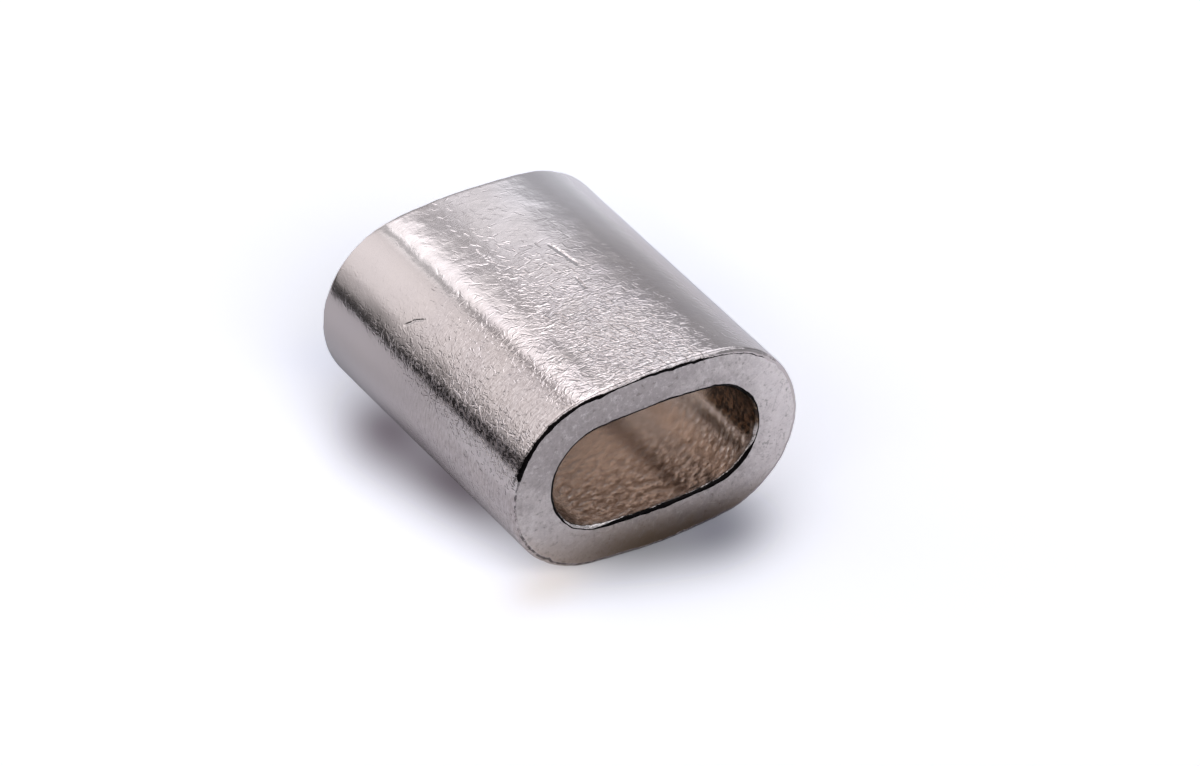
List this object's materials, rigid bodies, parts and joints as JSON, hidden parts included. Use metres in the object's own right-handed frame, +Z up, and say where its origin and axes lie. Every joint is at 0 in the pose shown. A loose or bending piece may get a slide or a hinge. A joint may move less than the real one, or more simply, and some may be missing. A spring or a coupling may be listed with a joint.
{
  "type": "oval wire rope ferrule",
  "caption": "Thick oval metal sleeve with an open oval passage; two legs of a wire rope lie side by side in it and it is pressed down on them to hold a loop.",
  "frame": {"origin": "middle of the flat that the ferrule lies on", "axes": "+Z up from the lower flat to the upper flat, +Y along the rope passage, +X across the two rope legs"},
  "size_m": [0.006, 0.007, 0.0039],
  "materials": {
    "nickel_plate": "tumbled nickel plate over copper, satin with a fine wrinkled grain"
  },
  "bodies": {
    "root": {"ferrule": "nickel_plate"}
  },
  "joints": []
}
